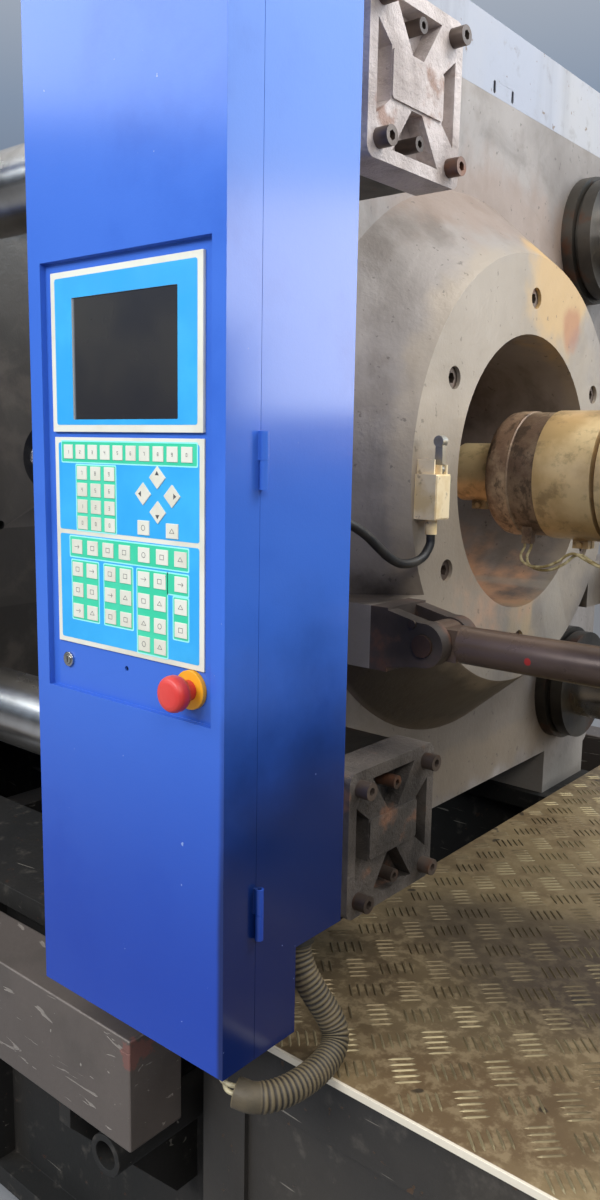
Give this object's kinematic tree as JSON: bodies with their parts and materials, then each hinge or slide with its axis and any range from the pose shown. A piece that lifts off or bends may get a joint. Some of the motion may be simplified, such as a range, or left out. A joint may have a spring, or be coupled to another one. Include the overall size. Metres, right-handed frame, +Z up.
{
  "type": "injection moulding machine",
  "caption": "Horizontal plastic injection moulding machine with a hydraulic clamp, tie bars, sliding guards, a control cabinet and an injection unit on a checker plate deck.",
  "frame": {"origin": "on the floor under the middle of the machine", "axes": "+X along the machine to the injection end, +Y away from the operator, +Z up"},
  "size_m": [7.2, 1.87, 2.265],
  "materials": {
    "bed": "satin",
    "base": "satin",
    "deck": "worn satin",
    "steel": "satin",
    "dark_steel": "oiled",
    "sill": "worn",
    "platen": "machined and oiled",
    "chrome": "polished",
    "cover_iron": "as cast",
    "bronze": "satin",
    "machine_blue": "satin",
    "header_grey": "satin",
    "cabinet_blue": "gloss",
    "clear": "clear",
    "cream": "matt",
    "screen": "gloss",
    "keys": "matt",
    "yellow": "gloss",
    "red": "gloss",
    "plated": "polished",
    "black_plastic": "matt",
    "hose_grey": "matt",
    "wire_cream": "matt",
    "cable_black": "matt",
    "band_brass": "satin",
    "wire_brown": "matt",
    "switch_cream": "satin",
    "unit_blue": "satin",
    "stainless": "satin"
  },
  "bodies": {
    "machine": {"clamp_bed": "bed", "injection_base": "base", "deck_plate": "deck", "levelling_feet": "steel", "door_sills": "sill", "fixed_platen": "platen", "tie_bars": "chrome", "tie_bar_nuts": "dark_steel", "nut_covers": "cover_iron", "platen_screws": "dark_steel", "cylinder_platen": "platen", "main_cylinder": "unit_blue", "packing_ring": "bronze", "top_header": "header_grey", "door_rails": "machine_blue", "front_guard": "machine_blue", "rear_guard": "machine_blue", "cabinet_shell": "cabinet_blue", "cabinet_brackets": "steel", "hose_gland": "black_plastic", "control_hose": "hose_grey", "hose_wires": "wire_cream", "clevis_blocks": "dark_steel", "clevis_pins": "dark_steel", "pull_rods": "dark_steel", "carriage_rails": "steel", "limit_switch": "switch_cream", "switch_cable": "cable_black", "switchgear_box": "unit_blue"},
    "clamp": {"moving_platen": "platen", "slide_shoes": "bronze", "ram": "chrome", "ejector_cylinder": "unit_blue"},
    "ejector": {"ejector_rod": "chrome"},
    "injection": {"carriage": "unit_blue", "carriage_cylinders": "unit_blue", "nozzle": "steel", "barrel_head": "steel", "barrel": "steel", "heater_bands": "band_brass", "heater_wires": "wire_brown", "feed_housing": "unit_blue", "hopper": "stainless", "injection_cylinders": "unit_blue"},
    "lid": {"hopper_lid": "stainless"},
    "drive": {"drive_plate": "unit_blue", "screw_motor": "steel"},
    "screw": {"screw": "steel"},
    "front_door": {"front_door": "machine_blue", "front_window": "clear"},
    "rear_door": {"rear_door": "machine_blue"},
    "cabinet_front": {"cabinet_front": "cabinet_blue", "screen_panel": "cream", "screen_glass": "screen", "keypad": "keys", "stop_collar": "yellow", "key_ring": "plated"},
    "stop_button": {"stop_button": "red"},
    "key": {"key_plug": "plated"},
    "switch_lever": {"switch_lever": "plated"}
  },
  "joints": [
    {"name": "clamp_stroke", "type": "slide", "parent": "machine", "child": "clamp", "axis": [1, 0, 0], "range_m": [-0.5, 0.5]},
    {"name": "ejector_stroke", "type": "slide", "parent": "clamp", "child": "ejector", "axis": [1, 0, 0], "range_m": [0, 0.1]},
    {"name": "carriage_stroke", "type": "slide", "parent": "machine", "child": "injection", "axis": [1, 0, 0], "range_m": [-0.15, 0.45]},
    {"name": "lid_hinge", "type": "hinge", "parent": "injection", "child": "lid", "pos_m": [1.86, 0.274, 2.249], "axis": [-1, 0, 0], "range_deg": [0, 100]},
    {"name": "injection_stroke", "type": "slide", "parent": "injection", "child": "drive", "axis": [1, 0, 0], "range_m": [0, 0.3]},
    {"name": "screw_turn", "type": "hinge", "parent": "drive", "child": "screw", "pos_m": [2.5, 0, 1.457], "axis": [1, 0, 0], "continuous": true},
    {"name": "front_door_slide", "type": "slide", "parent": "machine", "child": "front_door", "axis": [1, 0, 0], "range_m": [0, 1.2]},
    {"name": "rear_door_slide", "type": "slide", "parent": "machine", "child": "rear_door", "axis": [1, 0, 0], "range_m": [-1.2, 0]},
    {"name": "cabinet_hinge", "type": "hinge", "parent": "machine", "child": "cabinet_front", "pos_m": [0.4833, -0.85325, 1.477], "axis": [0, 0, 1], "range_deg": [0, 110]},
    {"name": "stop_press", "type": "slide", "parent": "cabinet_front", "child": "stop_button", "axis": [0, 1, 0], "range_m": [0, 0.006], "stiffness_N_per_m": 800},
    {"name": "key_turn", "type": "hinge", "parent": "cabinet_front", "child": "key", "pos_m": [0.208, -0.895, 1.239], "axis": [0, 1, 0], "range_deg": [0, 90]},
    {"name": "lever_swing", "type": "hinge", "parent": "machine", "child": "switch_lever", "pos_m": [0.378, -0.3415, 1.468], "axis": [0, 1, 0], "range_deg": [-25, 25], "stiffness_Nm_per_rad": 0.4}
  ]
}
